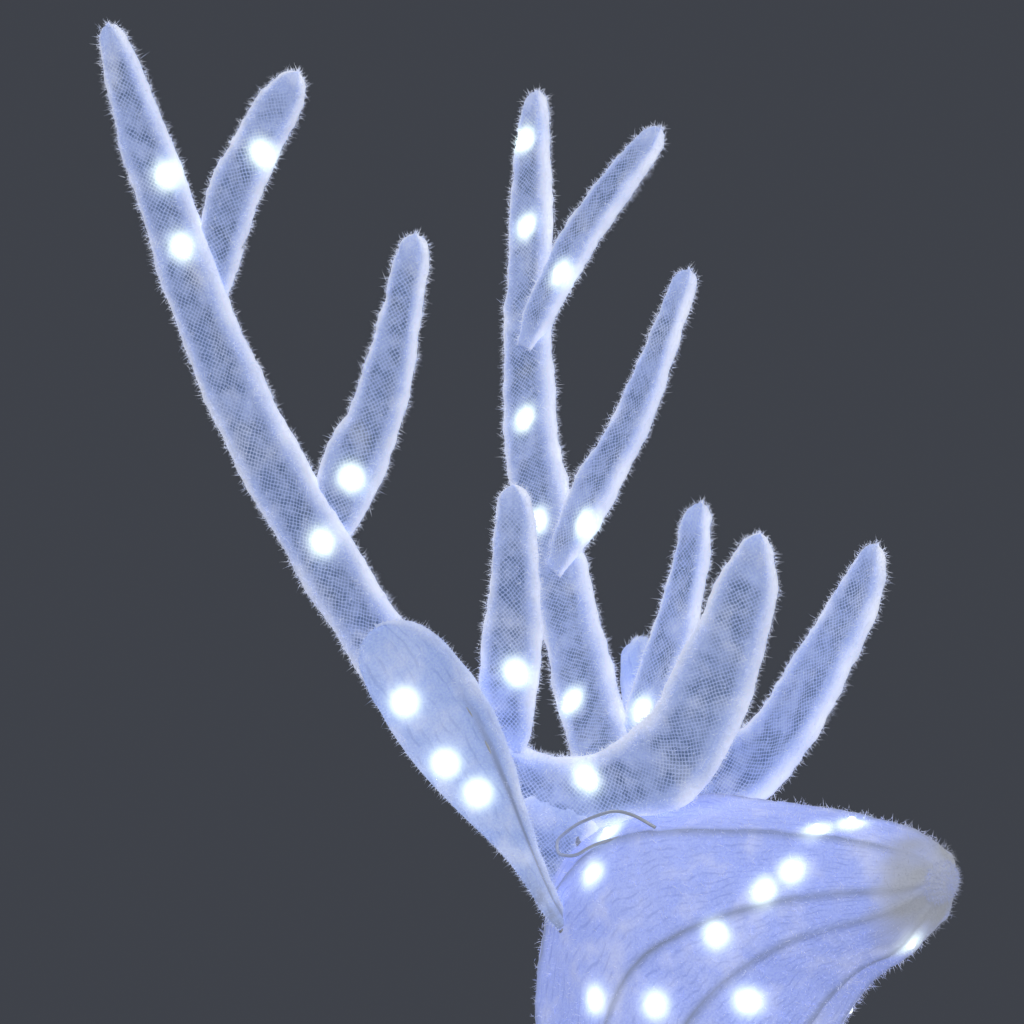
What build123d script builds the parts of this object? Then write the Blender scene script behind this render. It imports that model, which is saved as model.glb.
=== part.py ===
"""Standing light-up yard reindeer, about 1.5 m tall to the antler tips.

A welded wire frame carries sleeves of white knitted fabric, and mini LED bulbs are pushed out through the
knit. The legs, the neck and both antlers plug into tube sockets, and the ears swing on wire pivots.
Units are millimetres. +X is forward, +Y is the animal's left, +Z is up, and the hooves stand on Z = 0.
"""

import os

from build123d import *
from math import cos, hypot, pi, radians, sin, tan

os.makedirs("parts", exist_ok=True)

# ---------------------------------------------------------------- driving dimensions
FABRIC = 1.2  # thickness of every knitted sleeve
RIB_R = 1.75  # long wires of the head and torso
HOOP_R = 1.75  # rings welded inside the long wires
LOOP_R = 1.5  # wire loops that stretch the antlers and ears
WIRE_GAP = 1.0  # from the fabric to the wires of the head, torso and legs
WELD_GAP = 0.4  # from a long wire to the ring that it is welded to
STRING_R = 0.9  # clear twin lead of the light string
BULB_R = 2.4
BULB_OUT = 3.0  # how far a bulb stands out of the knit
BULB_IN = 9.8  # how far its husk reaches inwards, up to the lead
ANTLER_BULB_IN = 3.2  # the same inside the flat sleeves of the antlers
CENTRING = (-37.0, 0.0, 0.0)  # puts the middle of the outline over the origin

ROOT = (250.0, 1110.0)  # X and Z of the point between the two antler roots
ANTLER_Y = 27.0  # antler root, to either side of the middle plane
ANTLER_YAW = 9.4
ANTLER_TILT = 16.0
SLEEVE_HALF = 4.2  # half thickness of an antler sleeve
SLEEVE_GAP = 0.7  # from an antler or ear sleeve to the loop that stretches it

ANTLER_POST_R = 2.6
EAR_POST_R = 1.5
EAR_STEM = 10.0  # from the ear's pivot in the head to the root of its blade
EAR_HALF = 4.0  # half thickness in the middle of the blade
EAR_TAPER = 0.55  # how much thinner the blade is at its edges
EAR_WIRE_R = 1.0
EAR_WIRE_SHARE = 0.68  # how far out the wire runs, as a share of the half width
EAR_BULB_IN = 1.5
LEG_POST_R = 8.0
NECK_POST_R = 9.0
POST_FIT = 0.08  # radial clearance of each plug-in post in its socket
SOCKET_WALL = 1.8
HOLE_GAP = 2.0  # from a post to the edge of its hole in the fabric
TRIM_GAP = 0.6  # from a sleeve's trimmed foot to the fabric that it stands on
SIDES = 24  # facets round a body sleeve

LEG_SPLIT_Z = 452.0  # where the legs part from the torso
NECK_SPLIT_Z = 797.0  # where the neck parts from the torso
SEAM_GAP = 1.0

# Each station is a slice across the body: its top (or back) point, its bottom (or front) point, both as
# X, Z in the middle plane, and its half width.
HEAD = [
    ((200, -22), (197, -34), 9),
    ((195, -12), (187, -50), 21),
    ((184, -5), (176, -62), 31),
    ((161, 2), (157, -72), 38),
    ((128, 8), (140, -84), 45),
    ((89, 13), (127, -101), 51),
    ((48, 17), (118, -122), 56),
    ((8, 14), (112, -147), 60),
    ((-22, -4), (107, -176), 61),
    ((-36, -45), (102, -206), 60),
    ((-37, -100), (96, -234), 59),
    ((-39, -160), (91, -258), 60),
    ((-46, -220), (88, -279), 64),
    ((-57, -270), (86, -298), 68),
    ((-62, -312), (88, -312), 72),
]
TORSO = [
    ((-338, 700), (-341, 655), 28),
    ((-325, 738), (-330, 590), 66),
    ((-270, 764), (-278, 528), 96),
    ((-170, 768), (-172, 502), 108),
    ((-50, 758), (-50, 488), 110),
    ((60, 757), (75, 474), 111),
    ((120, 764), (185, 476), 108),
    ((152, 774), (268, 512), 102),
    ((172, 782), (318, 578), 94),
    ((184, 789), (338, 660), 84),
    ((188, 793), (340, 735), 76),
    ((188, 797), (338, 797), 72),
]
# Leg slices from the top down: X, Z, half length along X, half width along Y, and Y of the middle.
SHOULDER = [(200, 640, 60, 34, 58), (204, 545, 54, 34, 61), (206, 452, 37, 27, 62)]
HAUNCH = [(-250, 700, 58, 30, 54), (-252, 610, 74, 40, 60), (-258, 525, 60, 36, 65), (-266, 452, 42, 30, 66)]
FORELEG = [
    (206, 451, 37, 27, 62),
    (207, 380, 28, 23, 62),
    (208, 300, 22, 20, 62),
    (209, 262, 23, 20, 62),
    (208, 220, 19, 17, 62),
    (207, 120, 16, 15, 62),
    (209, 75, 19, 17, 62),
    (214, 48, 21, 18, 62),
]
HINDLEG = [
    (-266, 451, 42, 30, 66),
    (-280, 385, 32, 25, 66),
    (-297, 325, 24, 20, 66),
    (-307, 280, 23, 19, 66),
    (-305, 235, 20, 17, 66),
    (-297, 130, 17, 15, 66),
    (-293, 78, 19, 17, 66),
    (-288, 48, 21, 18, 66),
]
HOOF_TOP_Z = 47.0
HOOF_PLATE = 4.0
STAKE_HOLE_R = 4.5
STAKE_HOLE_OUT = 31.0  # from the hoof's middle, outwards
STAKE_TAB_R = 11.0

# Antler members in the antler's own plane: forward, up, full width, and bow out of the plane.
CRESCENT = [
    (-208, 419, 9, 0),
    (-204.5, 398, 20, 0),
    (-196.5, 362, 28, 1),
    (-187, 322, 31, 2.5),
    (-178, 282, 33, 3.5),
    (-166.5, 244, 35, 4.5),
    (-152.5, 206, 37, 5.5),
    (-131, 165, 37, 9),
    (-107, 121, 37, 12),
    (-82, 80, 39, 12),
    (-57, 48, 39, 9),
    (-30, 26, 37, 5),
    (0, 21, 32, 3),
    (30, 27, 36, 5),
    (56, 37, 44, 8),
    (74, 55, 44, 8.5),
    (87, 76, 41, 7),
    (99, 97, 38, 6),
    (112, 124, 29, 5),
    (120, 147, 10, 2),
]
POST_ROW = 12  # row of the crescent where its post stands
TINES = {
    "top": [(-103, 388, 10, 0), (-111, 378, 19, 0), (-121, 367, 24, 0), (-139, 344, 26, 0),
            (-148.5, 331, 27, 0), (-155.5, 316, 26, 0), (-156.5, 302, 20, 0), (-155.6, 290, 14, 0),
            (-153.5, 278, 9, 0)],
    "middle": [(-52, 303, 10, -5), (-55, 293, 16, -4.5), (-64, 266, 21, -2), (-73.5, 239, 25, 0.5),
               (-84.5, 214, 29, 2.5), (-98, 193, 31, 4), (-106, 178, 27, 6), (-103, 167, 13, 7),
               (-99.3, 158, 9, 7)],
    "lower": [(-13, 176, 10, 1), (-14, 165, 18, 1), (-15, 146, 24, 4), (-18, 120, 28, 6), (-22, 98, 32, 7.5),
              (-26, 82, 33, 8), (-28.5, 70, 26, 8), (-27, 60, 16, 8), (-23, 52, 9, 8)],
}
# Ear blade, from root to tip: distance along it, full width, depth of its cup, and its sway to the front.
EAR = [
    (0, 10, 1, 0),
    (14, 12, 2, 1.5),
    (34, 19, 4, 3),
    (62, 34, 8, 4),
    (92, 46, 11, 5),
    (120, 47, 10, 5),
    (144, 39, 6, 3.5),
    (160, 20, 2, 1.5),
]
# Bulbs of an ear: station, and share of the half width towards the rear edge.
EAR_BULBS = [(5.1, 0.45), (3.8, 0.45), (3.1, 0.2)]


# ---------------------------------------------------------------- small tools
def unit(v):
    return Vector(v).normalized()


def flipped(v, side):
    """A point or direction of the left side, or its mirror image on the right side."""
    return Vector(v.X, v.Y * side, v.Z)


def station_value(values, s):
    """Value at station number s of a list that has one number per station."""
    i = min(int(s), len(values) - 2)
    return values[i] + (values[i + 1] - values[i]) * (s - i)


def on_skin(stations, s, angle, depth=0.0):
    """Point under the skin. Angle 90 is the top or back, 0 the left side and 180 the right side."""
    top_x, top_z, low_x, low_z = (
        station_value([k[end][axis] for k in stations], s) for end in (0, 1) for axis in (0, 1)
    )
    top, low = Vector(top_x, 0, top_z), Vector(low_x, 0, low_z)
    wide = station_value([k[2] for k in stations], s) - depth
    up = (top - low) * 0.5
    up = up * (1 - depth / up.length)
    return (top + low) * 0.5 + up * sin(radians(angle)) + Vector(0, wide * cos(radians(angle)), 0)


def skin_normal(stations, s, angle):
    round_it = on_skin(stations, s, angle + 4) - on_skin(stations, s, angle - 4)
    along = on_skin(stations, s + 0.15, angle) - on_skin(stations, s - 0.15, angle)
    n = round_it.cross(along).normalized()
    outward = on_skin(stations, s, angle) - on_skin(stations, s, angle, 5.0)
    return n if n.dot(outward) > 0 else n * -1


def slice_ring(stations, s, depth=0.0):
    return [on_skin(stations, s, 360 * k / SIDES, depth) for k in range(SIDES)]


def ring_face(points, hole=None):
    outline = Wire(Polyline(*points, close=True))
    return Face(outline, [Wire(Polyline(*hole, close=True))]) if hole else Face(outline)


def lofted(rings):
    return loft([ring_face(ring) for ring in rings], ruled=True)


def side_faces(rings):
    ends = [ring_face(rings[0]).center(), ring_face(rings[-1]).center()]
    return [f for f in lofted(rings).faces() if min((f.center() - end).length for end in ends) > 0.01]


def sleeve(outer, inner, closed_tip=False):
    """A tube of fabric between two stacks of rings, open at its last ring."""
    faces = side_faces(outer) + side_faces(inner) + [ring_face(outer[-1], inner[-1])]
    if closed_tip:
        faces += [ring_face(outer[0]), ring_face(inner[0])]
    else:
        faces.append(ring_face(outer[0], inner[0]))
    return Solid(Shell(faces))


def body_sleeve(stations, closed_tip=False):
    """Fabric over a frame. A closed tip keeps its thickness across its first slice."""
    count = len(stations)
    outer = [slice_ring(stations, i) for i in range(count)]
    inner = [slice_ring(stations, i, FABRIC) for i in range(count)]
    if closed_tip:
        first = on_skin(stations, 1, 90) - on_skin(stations, 0, 90)
        inner[0] = slice_ring(stations, 1.6 * FABRIC / first.length, FABRIC)
    return sleeve(outer, inner, closed_tip)


def body_solid(stations, grow):
    """The filled shape of a body sleeve, grown by a small gap, for trimming what stands on it."""
    return lofted([slice_ring(stations, i, -grow) for i in range(len(stations))])


def largest(shape):
    return max(shape.solids(), key=lambda solid: solid.volume)


def bent_wire(points, radius, share=0.45):
    """A round wire of straight runs joined by arcs; a share of 0.45 gives the largest arcs."""
    points = [Vector(p) for p in points]
    radii = []
    for a, b, c in zip(points, points[1:], points[2:]):
        turn = radians((b - a).get_angle(c - b))
        radii.append(share * min((b - a).length, (c - b).length) / max(tan(turn / 2), 1e-3))
    path = FilletPolyline(*points, radius=radii) if len(points) > 2 else Line(points[0], points[1])
    section = Plane(origin=points[0], z_dir=points[1] - points[0]) * Circle(radius)
    return sweep(section, path=path)


def rod(a, b, radius):
    a, b = Vector(a), Vector(b)
    return extrude(Plane(origin=a, z_dir=b - a) * Circle(radius), (b - a).length)


def tube(a, b, inner, wall):
    a, b = Vector(a), Vector(b)
    section = Plane(origin=a, z_dir=b - a) * (Circle(inner + wall) - Circle(inner))
    return extrude(section, (b - a).length)


def hoop(stations, s, depth, radius):
    """A welded wire ring that follows a slice of the body."""
    top, low = on_skin(stations, s, 90, depth), on_skin(stations, s, 270, depth)
    side = on_skin(stations, s, 0, depth)
    middle = (top + low) * 0.5
    plane = Plane(origin=middle, x_dir=top - low, z_dir=(top - low).cross(Vector(0, 1, 0)))
    path = (plane * Ellipse((top - low).length / 2, side.Y)).face().outer_wire()
    section = Plane(origin=path.position_at(0), z_dir=path.tangent_at(0)) * Circle(radius)
    return sweep(section, path=path)


def bulb(point, outward, reach):
    """A clear mini bulb in its husk, pushed outwards through the knit."""
    neck = BULB_OUT - BULB_R
    sides = Polyline((0, BULB_OUT), (0, -reach), (BULB_R, -reach), (BULB_R, neck))
    dome = ThreePointArc((BULB_R, neck), (BULB_R * sin(pi / 4), neck + BULB_R * cos(pi / 4)), (0, BULB_OUT))
    profile = Plane.XZ * make_face([sides, dome])
    return Plane(origin=Vector(point), z_dir=unit(outward)) * revolve(profile, Axis.Z)


def skin_bulbs(stations, places):
    return [bulb(on_skin(stations, s, a), skin_normal(stations, s, a), BULB_IN) for s, a in places]


def mirrored(shapes):
    return [mirror(shape, Plane.XZ) for shape in shapes]


def save(node, shapes):
    """One STEP file per node, moved so that the outline is centred over the origin."""
    shapes = shapes if isinstance(shapes, list) else [shapes]
    solids = [solid for shape in shapes for solid in shape.solids()]
    placed = Pos(*CENTRING) * Compound(children=solids)
    export_step(placed, f"parts/{node}.step")
    print(node, len(solids))


# ---------------------------------------------------------------- torso and legs
RIB_DEPTH = FABRIC + WIRE_GAP + RIB_R
HOOP_DEPTH = RIB_DEPTH + RIB_R + WELD_GAP + HOOP_R
STRING_DEPTH = HOOP_DEPTH + HOOP_R + WIRE_GAP + STRING_R
BODY_RIBS = (90, 45, 0, 330, 270, 210, 180, 135)
TORSO_HOOPS = (1.3, 2.5, 4, 5.6, 7.5, 9.5)
NECK_AXIS_X = 263.0
NECK_POST_Z = (706.0, 900.0)
NECK_SOCKET_Z = (700.0, 785.0)
BAR_R = 2.5
# Sockets of the leg posts: X, Y, foot of the socket and head of the socket.
LEG_SOCKETS = {"front": (204, 61, 536, 610), "rear": (-256, 64, 578, 650)}
LEG_POST_END_Z = {"front": 400, "rear": 470}
HOOF_X = {"front": 214, "rear": -288}
STAKE_Y = 95.0
INLET = (-215.0, 16.0, 486.0)  # mouth of the power inlet, under the belly
INLET_R = 3.2
INLET_DEPTH = 16.0
TAIL = [
    ((-378, 733), (-386, 728), 5),
    ((-368, 738), (-388, 714), 12),
    ((-356, 728), (-374, 690), 16),
    ((-342, 698), (-345, 660), 14),
]


def leg_ring(station, depth=0.0):
    x, z, long, wide, y = station
    ring = []
    for k in range(SIDES):
        a = 2 * pi * k / SIDES
        ring.append(Vector(x + (long - depth) * cos(a), y + (wide - depth) * sin(a), z))
    return ring


def leg_sleeve(stations, torso):
    whole = sleeve([leg_ring(s) for s in stations], [leg_ring(s, FABRIC) for s in stations])
    return largest(whole - torso)


def leg_frame(stations, place):
    """Post, front and back wires and welded rings inside one leg sleeve."""
    x, y, _, top = LEG_SOCKETS[place]
    low = LEG_POST_END_Z[place]
    stations = [s for s in stations if s[1] <= LEG_SPLIT_Z]
    pieces = [rod((x, y, low), (x, y, top - 10), LEG_POST_R)]
    for sign in (1, -1):
        line = [(s[0] + sign * (s[2] - RIB_DEPTH), s[4], s[1]) for s in stations]
        line[-1] = (line[-1][0], line[-1][1], HOOF_TOP_Z + 2)
        pieces.append(bent_wire(line, RIB_R, 0.15))
    for s in stations[1:-1:2]:
        plane = Plane(origin=(s[0], s[4], s[1]))
        a, b = s[2] - HOOP_DEPTH, s[3] - RIB_DEPTH
        path = (plane * Ellipse(a, b)).face().outer_wire()
        section = Plane(origin=path.position_at(0), z_dir=path.tangent_at(0)) * Circle(LOOP_R)
        pieces.append(sweep(section, path=path))
    return pieces


def leg_socket_bridge(place):
    """Two leg sockets welded to the ends of one cross bar."""
    x, y, low, top = LEG_SOCKETS[place]
    part = rod((x, -y, top + 6), (x, y, top + 6), 6.0)
    for side in (y, -y):
        part += tube((x, side, low), (x, side, top + 6), LEG_POST_R + POST_FIT, SOCKET_WALL)
        part -= rod((x, side, low), (x, side, top), LEG_POST_R + POST_FIT)
    return part


def hoof(place, side):
    """Moulded hoof with a flat sole and a tab for a ground stake."""
    x, y = HOOF_X[place], STAKE_Y - STAKE_HOLE_OUT
    sole = Pos(x, side * y, 0) * Ellipse(30, 22)
    crown = Pos(x, side * y, HOOF_TOP_Z) * Ellipse(23, 20)
    part = loft([sole.face(), crown.face()])
    tab = Box(2 * STAKE_TAB_R, STAKE_HOLE_OUT, HOOF_PLATE)
    part += Pos(x, side * (y + STAKE_HOLE_OUT / 2), HOOF_PLATE / 2) * tab
    part += Pos(x, side * STAKE_Y, HOOF_PLATE / 2) * Cylinder(STAKE_TAB_R, HOOF_PLATE)
    return part - Pos(x, side * STAKE_Y, HOOF_PLATE / 2) * Cylinder(STAKE_HOLE_R, 2 * HOOF_PLATE)


def neck_socket():
    """Tube that takes the neck post, on four arms inside the neck ring."""
    x, (low, top) = NECK_AXIS_X, NECK_SOCKET_Z
    part = Part() + tube((x, 0, low), (x, 0, top), NECK_POST_R + POST_FIT, SOCKET_WALL)
    z, start = 760.0, NECK_POST_R + SOCKET_WALL
    for direction, reach in (((1, 0, 0), 58), ((-1, 0, 0), 58), ((0, 1, 0), 56), ((0, -1, 0), 56)):
        arm = Vector(direction)
        part += rod(Vector(x, 0, z) + arm * start, Vector(x, 0, z) + arm * reach, BAR_R)
    return part


def build_torso():
    solid = body_solid(TORSO, TRIM_GAP)
    skin = body_sleeve(TORSO, closed_tip=True)
    for place, (x, y, low, top) in LEG_SOCKETS.items():
        for side in (y, -y):
            skin -= rod((x, side, low - 80), (x, side, low), LEG_POST_R + HOLE_GAP)
    save("torso_skin", largest(skin))
    last = len(TORSO) - 1
    save("torso_long_wires", [
        bent_wire([on_skin(TORSO, s, angle, RIB_DEPTH) for s in [1.2, *range(2, last)]], RIB_R, 0.12)
        for angle in BODY_RIBS
    ])
    save("torso_hoops", [hoop(TORSO, s, HOOP_DEPTH, HOOP_R) for s in TORSO_HOOPS])
    save("neck_socket", neck_socket())
    save("leg_sockets", [leg_socket_bridge(place) for place in LEG_SOCKETS])
    places = []
    for row in range(9):
        places += [(1.5 + 0.9 * row, a) for a in (18 + 8 * (row % 3), 68, 112, 162 - 8 * (row % 3))]
    save("torso_bulbs", skin_bulbs(TORSO, places))
    runs = []
    for angle in (28, 68, 112, 152):
        route = [on_skin(TORSO, 1.2 + 1.1 * k, angle + 4 * (-1) ** k, STRING_DEPTH + 3) for k in range(9)]
        runs.append(bent_wire(route, STRING_R))
    save("torso_light_string", runs)
    stations = {"front": SHOULDER + FORELEG[1:], "rear": HAUNCH + HINDLEG[1:]}
    frames = []
    for place, rows in stations.items():
        left = leg_sleeve(rows, solid)
        save(f"leg_{place}_left_skin", left)
        save(f"leg_{place}_right_skin", mirrored([left]))
        frame = leg_frame(rows, place)
        frames += frame + mirrored(frame)
    save("leg_frames", frames)
    save("hooves", [hoof(place, side) for place in HOOF_X for side in (1, -1)])
    bulbs = []
    for rows in stations.values():
        for k, s in enumerate(rows[4:-1]):
            a = radians((60, 120, 240, 300)[k % 4])
            outward = Vector(cos(a), sin(a), 0)
            bulbs.append(bulb((s[0] + s[2] * cos(a), s[4] + s[3] * sin(a), s[1] + 14), outward, BULB_IN / 2))
    save("leg_bulbs", bulbs + mirrored(bulbs))
    save("tail_skin", body_sleeve(TAIL, closed_tip=True))
    x, y, z = INLET
    inlet = rod((x, y, z), (x, y, z + 32), 6.0) + rod((x, y, z), (x, y, z + 4), 8.0)
    save("power_inlet", inlet - rod((x, y, z - 1), (x, y, z + INLET_DEPTH), INLET_R))


# ---------------------------------------------------------------- head and neck
def placed(stations):
    return [((a[0] + ROOT[0], a[1] + ROOT[1]), (b[0] + ROOT[0], b[1] + ROOT[1]), w) for a, b, w in stations]


SKULL = placed(HEAD)
HEAD_RIBS = (90, 45, 0, 335, 285, 255, 205, 180, 135)
HEAD_HOOPS = (2.5, 8.8, 12, 13.6)
# Bulbs of the head: station and angle.
HEAD_BULBS = [
    (6.9, 128), (7.3, 142), (3.6, 127), (3.2, 111), (3.8, 161), (4.3, 172), (5.4, 186), (8.2, 172),
    (7.2, 192), (5.5, 218), (1.7, 268), (10.2, 168), (11.2, 198), (12.5, 160), (11.4, 120), (9.7, 142),
    (6.9, 52), (5.2, 33), (3.6, 66), (4.4, 12), (5.8, 349), (7.6, 14), (9.4, 26), (5.6, 321),
    (10.4, 12), (11.6, 347), (12.7, 25), (11.0, 60),
]
# Slack of the clear lead outside the right antler's root. X and Z count from the antler root.
LEAD_LOOP = [
    (58, -45, -1), (48, -48, 5), (35, -47, 8), (20, -44, 5.5), (5, -42, 1), (-6.5, -41, -6), (-5, -42, -13),
    (8, -45, -14.5), (20, -46.5, -9), (33, -40, -5),
]
EAR_BASE = on_skin(SKULL, 8.2, 37)
EAR_AXIS = unit((-75, 59, 147))
EAR_FACE = unit((0.57, 0.82, 0))  # the open side of the left ear


def antler_plane(side):
    """Antler plane with X forward, Y up and Z outwards; the root of the post is its origin."""
    outward = Vector(sin(radians(ANTLER_YAW)), side * cos(radians(ANTLER_YAW)), 0)
    outward = unit(outward * cos(radians(ANTLER_TILT)) + Vector(0, 0, -sin(radians(ANTLER_TILT))))
    forward = Vector(cos(radians(ANTLER_YAW)), -side * sin(radians(ANTLER_YAW)), 0)
    return Vector(ROOT[0], side * ANTLER_Y, ROOT[1]), forward, unit(forward.cross(outward)) * side, outward


def on_antler(side, p, q, bow=0.0):
    origin, forward, up, outward = antler_plane(side)
    return origin + forward * p + up * q + outward * bow


ANTLER_POST = (-46.0, 33.0)  # foot and head of the post along the antler's up direction
ANTLER_POST_BOW = 3.0
ANTLER_SOCKET = (-50.0, 0.0)


def socket_bridge():
    """Cross strap under the poll with the sockets of both antlers and both ears."""
    x, z = ROOT[0], ROOT[1] - 51
    part = Pos(x + 14, 0, z) * Box(24, 92, 6) + Pos(x + 3, 0, z) * Box(16, 44, 6)
    for side in (1, -1):
        low, top = (on_antler(side, 0, q, ANTLER_POST_BOW) for q in ANTLER_SOCKET)
        foot = on_antler(side, 0, ANTLER_POST[0] - 0.5, ANTLER_POST_BOW)
        part += rod(low, top, ANTLER_POST_R + POST_FIT + SOCKET_WALL)
        part -= rod(foot, top, ANTLER_POST_R + POST_FIT)
        ear_low, ear_foot, ear_top = (flipped(EAR_BASE - EAR_AXIS * d, side) for d in (22, 20.5, 4))
        part += rod(ear_low, ear_top, EAR_POST_R + POST_FIT + SOCKET_WALL)
        part -= rod(ear_foot, flipped(EAR_BASE, side), EAR_POST_R + 2 * POST_FIT)
    return part


def head_wires():
    wires = []
    for angle in HEAD_RIBS:
        wires.append(bent_wire([on_skin(SKULL, s, angle, RIB_DEPTH) for s in range(2, 15)], RIB_R, 0.12))
    return wires


def neck_post():
    x, (low, top) = NECK_AXIS_X, NECK_POST_Z
    part = Part() + rod((x, 0, low), (x, 0, top), NECK_POST_R)
    for direction in (Vector(1, 0, 0), Vector(-1, 0, 0), Vector(0, 1, 0), Vector(0, -1, 0)):
        part += rod(Vector(x, 0, 828), Vector(x, 0, 828) + direction * 52, BAR_R)
    return part


def build_head():
    skin = body_sleeve(SKULL, closed_tip=True)
    for side in (1, -1):
        skin -= rod(*(on_antler(side, 0, q, ANTLER_POST_BOW) for q in (-30, 30)), ANTLER_POST_R + HOLE_GAP)
        low, top = (flipped(EAR_BASE + EAR_AXIS * d, side) for d in (-20, 20))
        skin -= rod(low, top, EAR_POST_R + HOLE_GAP)
    save("head_skin", largest(skin))
    save("head_long_wires", head_wires())
    save("head_hoops", [hoop(SKULL, s, HOOP_DEPTH, HOOP_R) for s in HEAD_HOOPS])
    face = [on_skin(SKULL, 0, 360 * k / SIDES, 0.5) for k in range(SIDES)]
    forward = (face[SIDES // 4] - face[3 * SIDES // 4]).cross(Vector(0, 1, 0)).normalized()
    forward = forward if forward.X > 0 else forward * -1
    middle = (face[SIDES // 4] + face[3 * SIDES // 4]) * 0.5
    front = [middle + (point - middle) * 0.7 + forward * 4.2 for point in face]
    save("nose_gather", lofted([[point + forward * 0.2 for point in face], front]))
    save("socket_bridge", socket_bridge())
    save("neck_post", neck_post())
    save("head_bulbs", skin_bulbs(SKULL, HEAD_BULBS))
    runs = []
    for angles in ((128, 160, 176, 196, 206), (52, 20, 4, 344, 334)):
        route = [(13, angles[0]), (11.4, angles[1]), (9.8, angles[2]), (8.2, angles[1]), (6.8, angles[3]),
                 (5.4, angles[2]), (4.2, angles[4]), (3.0, angles[2])]
        runs.append(bent_wire([on_skin(SKULL, s, a, STRING_DEPTH + 3) for s, a in route], STRING_R))
    save("head_light_string", runs)
    slack = [Vector(ROOT[0] + x, y, ROOT[1] + z) for x, y, z in LEAD_LOOP]
    save("head_lead_loop", bent_wire(slack, STRING_R))


# ---------------------------------------------------------------- antlers
# Bulbs of each antler: forward, up and bow, all on the animal's right face of the sleeve.
ANTLER_BULBS = {
    "left": [(-206, 390, 0), (-191, 340, 2), (-154, 310, 0), (-163, 231, 5), (-140, 174, 8), (-101, 170, 7),
             (-88, 75, 12), (-30, 66, 8)],
    "right": [(-184, 341, 2), (-180, 305, 3), (-128, 349, 0), (-100, 184, 5), (-119, 153, 10), (-20, 83, 8),
              (9, 27, 4)],
}
SEAM = (21, 32, 3)  # up, width and bow where beam and brow meet over the post
MEMBERS = {
    "beam": CRESCENT[:POST_ROW] + [(-8, 21.3, 32, 3.4), (-SEAM_GAP / 2, *SEAM)],
    "brow": CRESCENT[:POST_ROW:-1] + [(8, 21.3, 32, 3.4), (SEAM_GAP / 2, *SEAM)],
    **TINES,
}


def member_point(side, rows, s, across=0.0, bow=0.0):
    """Point at station s of an antler member, offset across it in the antler's plane and out of it."""
    p = station_value([r[0] for r in rows], s)
    q = station_value([r[1] for r in rows], s)
    t = station_value([r[3] for r in rows], s)
    before, after = max(s - 0.5, 0), min(s + 0.5, len(rows) - 1)
    dp = station_value([r[0] for r in rows], after) - station_value([r[0] for r in rows], before)
    dq = station_value([r[1] for r in rows], after) - station_value([r[1] for r in rows], before)
    run = hypot(dp, dq)
    return on_antler(side, p - across * dq / run, q + across * dp / run, t + bow)


def member_ring(side, rows, s, inset=0.0):
    """Flat ring with round edges across an antler member."""
    half = SLEEVE_HALF - inset
    reach = station_value([r[2] for r in rows], s) / 2 - SLEEVE_HALF
    ring = []
    for sign in (1, -1):
        for angle in (-90, -54, -18, 18, 54, 90):
            a = radians(angle)
            ring.append(member_point(side, rows, s, sign * (reach + half * cos(a)), sign * half * sin(a)))
    return ring


def member_sleeve(side, rows):
    last = len(rows) - 1
    outer = [member_ring(side, rows, s) for s in range(last + 1)]
    inner = [member_ring(side, rows, s, FABRIC) for s in range(last + 1)]
    step = hypot(rows[1][0] - rows[0][0], rows[1][1] - rows[0][1])
    inner[0] = member_ring(side, rows, 1.5 * FABRIC / step, FABRIC)
    return sleeve(outer, inner, closed_tip=True)


def member_loop(side, rows, end):
    """A hairpin of wire along both edges of a sleeve, turned round near its tip."""
    inset = FABRIC + SLEEVE_GAP + LOOP_R
    stations = [0.55] + list(range(1, int(end) + 1)) + ([end] if end % 1 else [])
    edges = {}
    reach = [station_value([r[2] for r in rows], s) / 2 - inset for s in stations]
    for sign in (1, -1):
        edges[sign] = [member_point(side, rows, s, sign * r) for s, r in zip(stations, reach)]
    return bent_wire(edges[1][::-1] + edges[-1], LOOP_R, 0.4)


def build_antler(name, side):
    skull = body_solid(SKULL, TRIM_GAP)
    ends = {"beam": 12.4, "brow": 7.4, "top": 6.0, "middle": 6.0, "lower": 6.0}
    foot, head = (on_antler(side, 0, q, ANTLER_POST_BOW) for q in ANTLER_POST)
    wires, leads = {}, []
    for member, rows in MEMBERS.items():
        skin = member_sleeve(side, rows)
        if member in ("beam", "brow"):
            skin = largest(skin - skull - rod(foot, head, ANTLER_POST_R + TRIM_GAP))
        save(f"antler_{name}_{member}_skin", skin)
        wires[member] = member_loop(side, rows, ends[member])
        leads.append(bent_wire([member_point(side, rows, s) for s in range(1, len(rows) - 1)], STRING_R))
    save(f"antler_{name}_post", rod(foot, head, ANTLER_POST_R))
    save(f"antler_{name}_beam_wires", [wires["beam"], wires["brow"]])
    save(f"antler_{name}_tine_wires", [wires[m] for m in TINES])
    save(f"antler_{name}_light_string", leads)
    outward = antler_plane(side)[3] * -side
    save(f"antler_{name}_bulbs", [
        bulb(on_antler(side, p, q, bow - side * SLEEVE_HALF), outward, ANTLER_BULB_IN)
        for p, q, bow in ANTLER_BULBS[name]
    ])


# ---------------------------------------------------------------- ears
def ear_frame_axes(side):
    axis, face = flipped(EAR_AXIS, side), flipped(EAR_FACE, side)
    face = unit(face - axis * face.dot(axis))
    return flipped(EAR_BASE, side), axis, face, axis.cross(face)


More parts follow.
